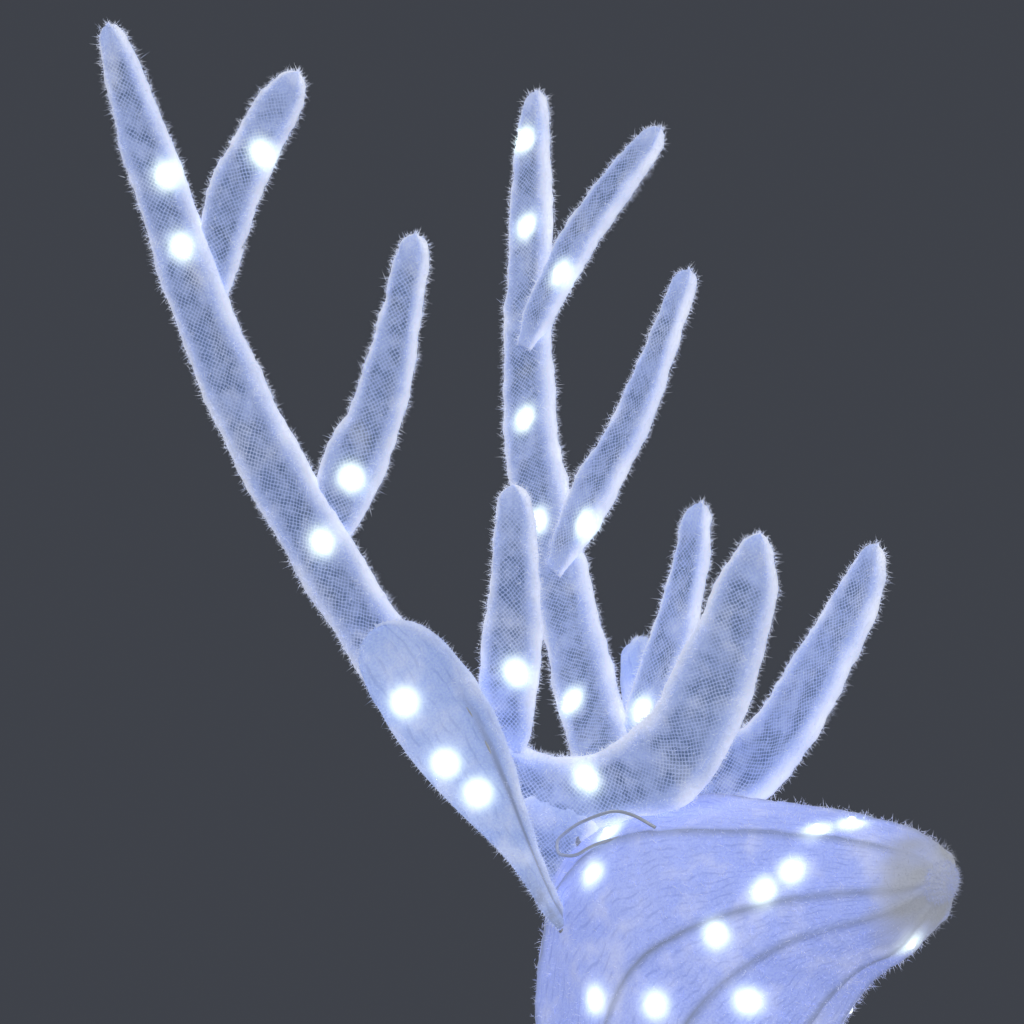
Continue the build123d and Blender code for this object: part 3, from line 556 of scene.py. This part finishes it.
def sleeve_piece(name, rows, point_at, ribs, pitch, sides, share, seed, fibres,
                 hoops=(), columns=(0, 1), grey_nose=False):
    """One sleeve of fabric round a frame, with ridges over its wires, small folds and loose fibres."""
    piece = Piece(name)
    rng = np.random.default_rng(seed)
    s, along = even_stations(rows, list(columns), pitch)
    angles = np.linspace(0, 360, sides, endpoint=False)
    grid = point_at(rows, s, angles)
    rib_points = point_at(rows, s, np.asarray(ribs, dtype=float))
    grid = taut(grid, angles, ribs, rib_points, share)
    places = [float(np.interp(h, s, along)) for h in hoops]
    # A ridge over each wire, and a painted line that is partly the wire showing through and partly its
    # painted shadow.
    wire = ring_values(rib_points, grid, places, along)
    normal = grid_normals(grid)
    folds = 0.6 * wave_noise(grid, 34.0, seed + 1) + 0.32 * wave_noise(grid, 11.0, seed + 2)
    grid = grid + normal * (0.9 * wire + folds)[..., None]
    round_it = np.linalg.norm(grid - np.roll(grid, 1, axis=1), axis=2).mean(axis=0)
    u = np.cumsum(round_it) * MM
    uv = np.stack(np.broadcast_arrays(u[None, :], (along * MM)[:, None]), axis=-1)
    nose = nose_values(grid, along, seed + 5) if grey_nose else np.zeros(grid.shape[:2])
    visible = (0.75 + 0.25 * wave_noise(grid, 60.0, seed + 3)) * (1 - 0.8 * nose)
    tint = 0.12 * wave_noise(grid, 70.0, seed + 4)
    piece.add_grid(metres(grid), uv, wire=wire * visible, nose=nose, tint=tint)
    i = rng.integers(0, grid.shape[0], fibres)
    j = rng.integers(0, grid.shape[1], fibres)
    roots = grid[i, j] + rng.normal(scale=0.8, size=(fibres, 3))
    lengths = (SHORTEST_FIBRE + 3.2 * rng.uniform(size=fibres) ** 2) * MM
    paleness = rng.uniform(0.1, 0.9, fibres)
    piece.fuzz(metres(roots), normal[i, j], uv[i, j], lengths, BODY_FIBRE_WIDTH * MM, rng,
               tint=paleness, nose=nose[i, j])
    return piece


def build_head():
    bulbs = bulb_places("head_bulbs")
    piece = sleeve_piece("head_fabric", HEAD, ellipse_point, HEAD_RIBS, pitch=2.2, sides=190, share=0.35,
                         seed=11, fibres=27000, grey_nose=True)
    piece.make(bulbs, BODY_KNIT, "head", "body_knit", ["head_skin"])
    build_nose(bulbs)


def build_nose(bulbs):
    """The front end of the head sleeve, drawn together into a small pleated cap."""
    rows, sides, fibres = 26, 240, 1500
    piece = Piece("nose_gather_fabric")
    rng = np.random.default_rng(71)
    angles = np.linspace(0, 360, sides, endpoint=False)
    start = ellipse_point(HEAD, [0.35], angles)[0]
    middle = start.mean(axis=0)
    forward = unit(np.cross(start[sides // 4] - start[3 * sides // 4], [0.0, 1.0, 0.0]))
    forward = forward * np.sign(forward[0])
    swell = np.linspace(0, 1, rows)[:, None, None]
    rise = np.sin(swell * pi / 2)
    a = np.radians(angles)
    pleats = 0.07 * np.sin(a * 17 + 0.8 * np.sin(a * 3))[None, :, None]
    ring = (start - middle)[None, :, :] * (np.cos(swell * pi / 2) ** 0.75 + 0.03) * (1 + pleats * rise)
    grid = middle + ring + forward * (6.0 * rise**1.3)
    normal = grid_normals(grid)
    grid = grid + normal * (0.4 * wave_noise(grid, 7.0, 72))[..., None]
    uv = np.stack(np.broadcast_arrays(a[None, :] * 12 * MM, swell[..., 0] * 14 * MM), axis=-1)
    # Painted shade in the folds of the pleats.
    crease = np.clip(-pleats[..., 0] * 9, 0, 1) * np.clip(swell[..., 0] * 1.4, 0, 0.8)
    piece.add_grid(metres(grid), uv, cap_end=True, wire=crease, nose=0.85)
    i = rng.integers(0, rows, fibres)
    j = rng.integers(0, sides, fibres)
    lengths = rng.uniform(0.9, 3.0, fibres) * MM
    greyness = rng.uniform(0.5, 0.9, fibres)
    piece.fuzz(metres(grid[i, j]), normal[i, j], uv[i, j], lengths, FIBRE_WIDTH * MM, rng, nose=greyness)
    piece.make(bulbs, BODY_KNIT, "head", "body_knit", ["nose_gather"])


def build_torso():
    bulbs = bulb_places("torso_bulbs") + bulb_places("leg_bulbs")
    piece = sleeve_piece("torso_fabric", TORSO, ellipse_point, BODY_RIBS, pitch=4.0, sides=200, share=0.35,
                         seed=31, fibres=14000, hoops=BODY_HOOPS, columns=(2, 3))
    piece.make(bulbs, BODY_KNIT, "torso", "body_knit", ["torso_skin"])
    piece = sleeve_piece("tail_fabric", TAIL, ellipse_point, TAIL_RIBS, pitch=1.6, sides=60, share=0.1,
                         seed=41, fibres=1800)
    piece.make(bulbs, BODY_KNIT, "torso", "body_knit", ["tail_skin"])
    for place, rows in (("front", FRONT_LEG), ("rear", REAR_LEG)):
        for name, side in (("left", 1), ("right", -1)):
            leg = f"leg_{place}_{name}"
            flipped = rows.copy()
            flipped[:, 4] *= side
            piece = sleeve_piece(f"{leg}_fabric", flipped, leg_point, LEG_RIBS, pitch=3.0, sides=64,
                                 share=0.05, seed=51 + side, fibres=3500)
            piece.make(bulbs, BODY_KNIT, "torso", "body_knit", [f"{leg}_skin"])


# ---------------------------------------------------------------- antlers
def antler_axes(side):
    """The antler's root, and its directions forward, up and out of its plane."""
    flat = cos(ANTLER_TILT)
    out = np.array([sin(ANTLER_YAW) * flat, side * cos(ANTLER_YAW) * flat, -sin(ANTLER_TILT)])
    forward = np.array([cos(ANTLER_YAW), -side * sin(ANTLER_YAW), 0.0])
    return ROOT + np.array([0, side * ANTLER_Y, 0]), forward, np.cross(forward, out) * side, out


def round_end(along):
    """1 along a piece, falling as a quarter circle to its end."""
    return np.clip(np.sqrt(quarter_round(np.clip(along / SLEEVE_END, 0, 1))), 0.12, 1)


def squared(values, power):
    """Sines or cosines with their middle values raised, so that a round section becomes a flatter one."""
    return np.sign(values) * np.abs(values) ** power


def member_grid(side, rows, thickness, whole, pitch=1.7, count=56):
    """Points of a flat sleeve over two edge wires. A piece that isn't whole sinks into the beam at its
    far end. Also gives how far across the sleeve each column lies, each row's distance and half width."""
    s, along = even_stations(rows, [0, 1], pitch)
    r = smooth_rows(rows, s)
    tangent = unit(np.gradient(r[:, :2], axis=0))
    normal = np.stack([-tangent[:, 1], tangent[:, 0]], axis=1)
    origin, forward, up, out = antler_axes(side)
    around = np.linspace(0, 2 * pi, count, endpoint=False)
    rounded = round_end(along)
    if whole:
        rounded = rounded * round_end(along[-1] - along)
        sinking = np.ones(len(along))
    else:
        sinking = 0.45 + 0.55 * np.clip((along[-1] - along) / 32.0, 0, 1)
    half = r[:, 2] / 2 * (1 + 0.03 * np.sin(along / 9.0)) * rounded
    across = squared(np.cos(around), 0.7)
    lift = squared(np.sin(around), 0.7)
    thick = thickness * rounded * sinking
    sunk = 1 - 0.30 * np.clip(1 - np.abs(across) * 1.25, 0, 1)
    p = r[:, 0][:, None] + normal[:, 0][:, None] * half[:, None] * across[None, :]
    q = r[:, 1][:, None] + normal[:, 1][:, None] * half[:, None] * across[None, :]
    b = r[:, 3][:, None] + thick[:, None] * (lift * sunk)[None, :]
    grid = origin + p[..., None] * forward + q[..., None] * up + b[..., None] * out
    return grid, across, along, half


def flat_uv(across, along, half):
    """Fabric coordinates of a flat sleeve in metres, across it and along it."""
    reach = across[None, :] * half[:, None]
    return np.stack([reach * MM, np.broadcast_to((along * MM)[:, None], reach.shape)], axis=-1)


def antler_piece(name, side, member, seed):
    piece = Piece(name)
    rng = np.random.default_rng(seed)
    thickness = SLEEVE_HALVES.get(member, SLEEVE_HALF)
    grid, across, along, half = member_grid(side, MEMBERS[member], thickness, member == "crescent")
    normal = grid_normals(grid)
    rough = 0.45 * wave_noise(grid, 14.0, seed + 1) + 0.3 * wave_noise(grid, 5.0, seed + 2)
    grid = grid + normal * rough[..., None]
    every_row = np.ones((len(along), 1))
    inner = np.clip((1 - np.abs(across)[None, :] - 0.30) / 0.30, 0, 1) * every_row
    patch = 0.5 + 0.5 * wave_noise(grid, 26.0, seed + 3) + 0.25 * wave_noise(grid, 7.0, seed + 6)
    ends = np.clip((along - 8) / 14.0, 0, 1) * np.clip((along[-1] - along - 4) / 14.0, 0, 1)
    opening = np.clip(inner * (0.45 + 0.9 * patch), 0, 1) * ends[:, None]
    uv = flat_uv(across, along, half)
    # Painted highlight: the rims, where the fabric wraps the edge wires densely, are painted paler than the
    # middle.
    rim = np.clip(np.abs(across) - 0.66, 0, 1)[None, :] * 3.0 * every_row
    tint = rim + 0.2 * wave_noise(grid, 22.0, seed + 4) - 0.15
    piece.add_grid(metres(grid), uv, cap_start=True, cap_end=True, open=opening, tint=tint)
    fibres = int(along[-1] * 34)
    on_edge = rng.uniform(size=fibres) < 0.8
    edge_columns = rng.choice(np.flatnonzero(np.abs(across) > 0.6), fibres)
    j = np.where(on_edge, edge_columns, rng.integers(0, len(across), fibres))
    i = rng.integers(0, len(along), fibres)
    roots = grid[i, j] + rng.normal(scale=0.6, size=(fibres, 3))
    lengths = (SHORTEST_FIBRE + 2.9 * rng.uniform(size=fibres) ** 2) * MM
    paleness = rng.uniform(0.3, 1.0, fibres)
    piece.fuzz(metres(roots), normal[i, j], uv[i, j], lengths, FIBRE_WIDTH * MM, rng, tint=paleness)
    return piece


def build_antlers():
    for name, side in (("left", 1), ("right", -1)):
        bulbs = bulb_places(f"antler_{name}_bulbs", ANTLER_GLOW_REACH)
        for k, member in enumerate(MEMBERS):
            piece = antler_piece(f"antler_{name}_{member}_fabric", side, member, 100 + 20 * k + side)
            skins = [f"antler_{name}_{skin}_skin" for skin in SKINS.get(member, (member,))]
            piece.make(bulbs, ANTLER_KNIT, f"antler_{name}", "antler_knit", skins)


# ---------------------------------------------------------------- ears
def ear_axes(side):
    """The ear's pivot, and its directions along the blade, out of its hollow face and across it."""
    base = ellipse_point(HEAD, [8.2], [37.0])[0, 0] * np.array([1, side, 1])
    axis = unit(np.array([-75, 59 * side, 147]))
    face = np.array([0.57, 0.82 * side, 0.0])
    face = unit(face - axis * (face @ axis))
    return base, axis, face, np.cross(axis, face)


def ear_grid(side, pitch=1.7, count=96):
    """Points of the cupped blade, and how far across it each column lies, each row's place and half width."""
    base, axis, face, across_axis = ear_axes(side)
    stations, _ = even_stations(EAR, [0, 1], pitch)
    r = smooth_rows(EAR, stations)
    along = r[:, 0]
    around = np.linspace(0, 2 * pi, count, endpoint=False)
    share = squared(np.cos(around), 0.8)
    lift = squared(np.sin(around), 0.8)
    tip = quarter_round(np.clip((along[-1] - along) / 9.0, 0, 1))
    half = r[:, 1] / 2 * np.sqrt(np.clip(tip, 0.02, 1))
    thick = EAR_HALF * np.sqrt(np.clip(tip, 0.1, 1))
    cup = r[:, 2][:, None] * share[None, :] ** 2 - r[:, 2][:, None] * 0.5
    bulge = thick[:, None] * (lift * (1 - 0.4 * np.abs(share)))[None, :]
    sideways = half[:, None] * share[None, :] - side * r[:, 3][:, None]
    grid = (base + axis * (along + EAR_STEM)[:, None, None] + across_axis * sideways[..., None]
            + face * (cup + bulge)[..., None])
    return grid, share, along, half


def ear_piece(name, side, fibres=4200):
    piece = Piece(f"ear_{name}_fabric")
    rng = np.random.default_rng(200 + side)
    grid, share, along, half = ear_grid(side)
    normal = grid_normals(grid)
    grid = grid + normal * (0.4 * wave_noise(grid, 18.0, 210 + side))[..., None]
    front = -side * share
    # Painted shade in the crease along the front of the blade, fading towards the tip; the blade is also
    # dented there.
    crease_fade = np.clip((125 - along) / 60.0, 0, 1)[:, None]
    crease = np.exp(-(((front - 0.64) / 0.09) ** 2))[None, :] * crease_fade
    hem = np.clip((front - 0.74) * 4, 0, 1)[None, :] * np.ones((len(along), 1))
    grid = grid - normal * (0.3 * crease)[..., None] + normal * (1.2 * hem)[..., None]
    # Painted shade at the root of the blade, where the ear meets the head.
    root = np.clip((22 - along) / 22.0, 0, 1)[:, None] * (0.6 + 0.4 * wave_noise(grid, 6.0, 220 + side))
    uv = flat_uv(share, along, half)
    # Painted highlight on the rolled hem, on top of the fabric's own tone varying at random.
    tint = 0.35 * hem + 0.12 * wave_noise(grid, 30.0, 230 + side)
    piece.add_grid(metres(grid), uv, cap_start=True, cap_end=True,
                   wire=np.clip(1.0 * crease + 0.7 * root, 0, 1), tint=tint)
    on_edge = rng.uniform(size=fibres) < 0.6
    edge_columns = rng.choice(np.flatnonzero(np.abs(share) > 0.85), fibres)
    j = np.where(on_edge, edge_columns, rng.integers(0, len(share), fibres))
    i = rng.integers(0, len(along), fibres)
    lengths = (0.8 + 3.0 * rng.uniform(size=fibres) ** 2) * MM
    paleness = rng.uniform(0.1, 0.8, fibres)
    piece.fuzz(metres(grid[i, j]), normal[i, j], uv[i, j], lengths, FIBRE_WIDTH * MM, rng, tint=paleness)
    return piece


def build_ears():
    for name, side in (("left", 1), ("right", -1)):
        bulbs = bulb_places(f"ear_{name}_bulbs") + bulb_places("head_bulbs")
        ear_piece(name, side).make(bulbs, EAR_KNIT, f"ear_{name}", "body_knit", [f"ear_{name}_skin"])


# ---------------------------------------------------------------- the rest
def dress_nodes():
    """Better materials for the CAD nodes that stay in view."""
    for name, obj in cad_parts.items():
        if "bulbs" in name:
            material = BULB
        elif "string" in name or "lead" in name:
            material = LEAD
        elif name in ("hooves", "power_inlet"):
            material = PLASTIC
        elif name in ("neck_socket", "leg_sockets", "socket_bridge", "neck_post"):
            material = STEEL
        else:
            material = WIRE
        obj.data.materials.clear()
        obj.data.materials.append(material)


def build_stage():
    """A plain pale floor, an even background and three soft area lights."""
    mesh = bpy.data.meshes.new("floor")
    far = FLOOR_HALF
    mesh.from_pydata([(-far, -far, 0), (far, -far, 0), (far, far, 0), (-far, far, 0)], [], [(0, 1, 2, 3)])
    mesh.materials.append(floor_material())
    floor = bpy.data.objects.new("floor", mesh)
    bpy.context.scene.collection.objects.link(floor)
    world = bpy.data.worlds.new("studio")
    world.use_nodes = True
    background = world.node_tree.nodes["Background"]
    background.inputs["Color"].default_value = (0.050, 0.055, 0.068, 1.0)
    background.inputs["Strength"].default_value = 1.0
    bpy.context.scene.world = world
    bpy.context.scene.view_settings.view_transform = "Standard"
    lights = (
        ("key", (2.2, -2.6, 3.0), 2.4, 60.0),
        ("fill", (2.8, 2.4, 2.0), 2.4, 28.0),
        ("back", (-2.8, 0.6, 3.2), 2.0, 45.0),
    )
    for name, place, size, power in lights:
        light = bpy.data.lights.new(name, "AREA")
        light.size = size
        light.energy = power
        lamp = bpy.data.objects.new(name, light)
        lamp.location = place
        lamp.rotation_euler = (Vector((0.0, 0.0, 0.9)) - Vector(place)).to_track_quat("-Z", "Y").to_euler()
        bpy.context.scene.collection.objects.link(lamp)


def build_camera():
    """At the height of the neck, 4 m away, to the front right of the animal and looking slightly up."""
    azimuth, elevation, distance = radians(38), radians(-4), 4.0
    right = np.array([cos(azimuth), sin(azimuth), 0.0])
    back = np.array([sin(azimuth) * cos(elevation), -cos(azimuth) * cos(elevation), sin(elevation)])
    up = np.cross(back, right)
    target = metres(ROOT) - right * 0.0525 + up * 0.159
    place = target + back * distance
    data = bpy.data.cameras.new("camera")
    data.sensor_width = 36.0
    data.lens = 281.25
    data.clip_end = 200.0
    camera = bpy.data.objects.new("camera", data)
    camera.location = place
    camera.rotation_euler = (Vector(target) - Vector(place)).to_track_quat("-Z", "Y").to_euler()
    bpy.context.scene.collection.objects.link(camera)
    bpy.context.scene.camera = camera


dress_nodes()
build_head()
build_torso()
build_antlers()
build_ears()
build_stage()
build_camera()
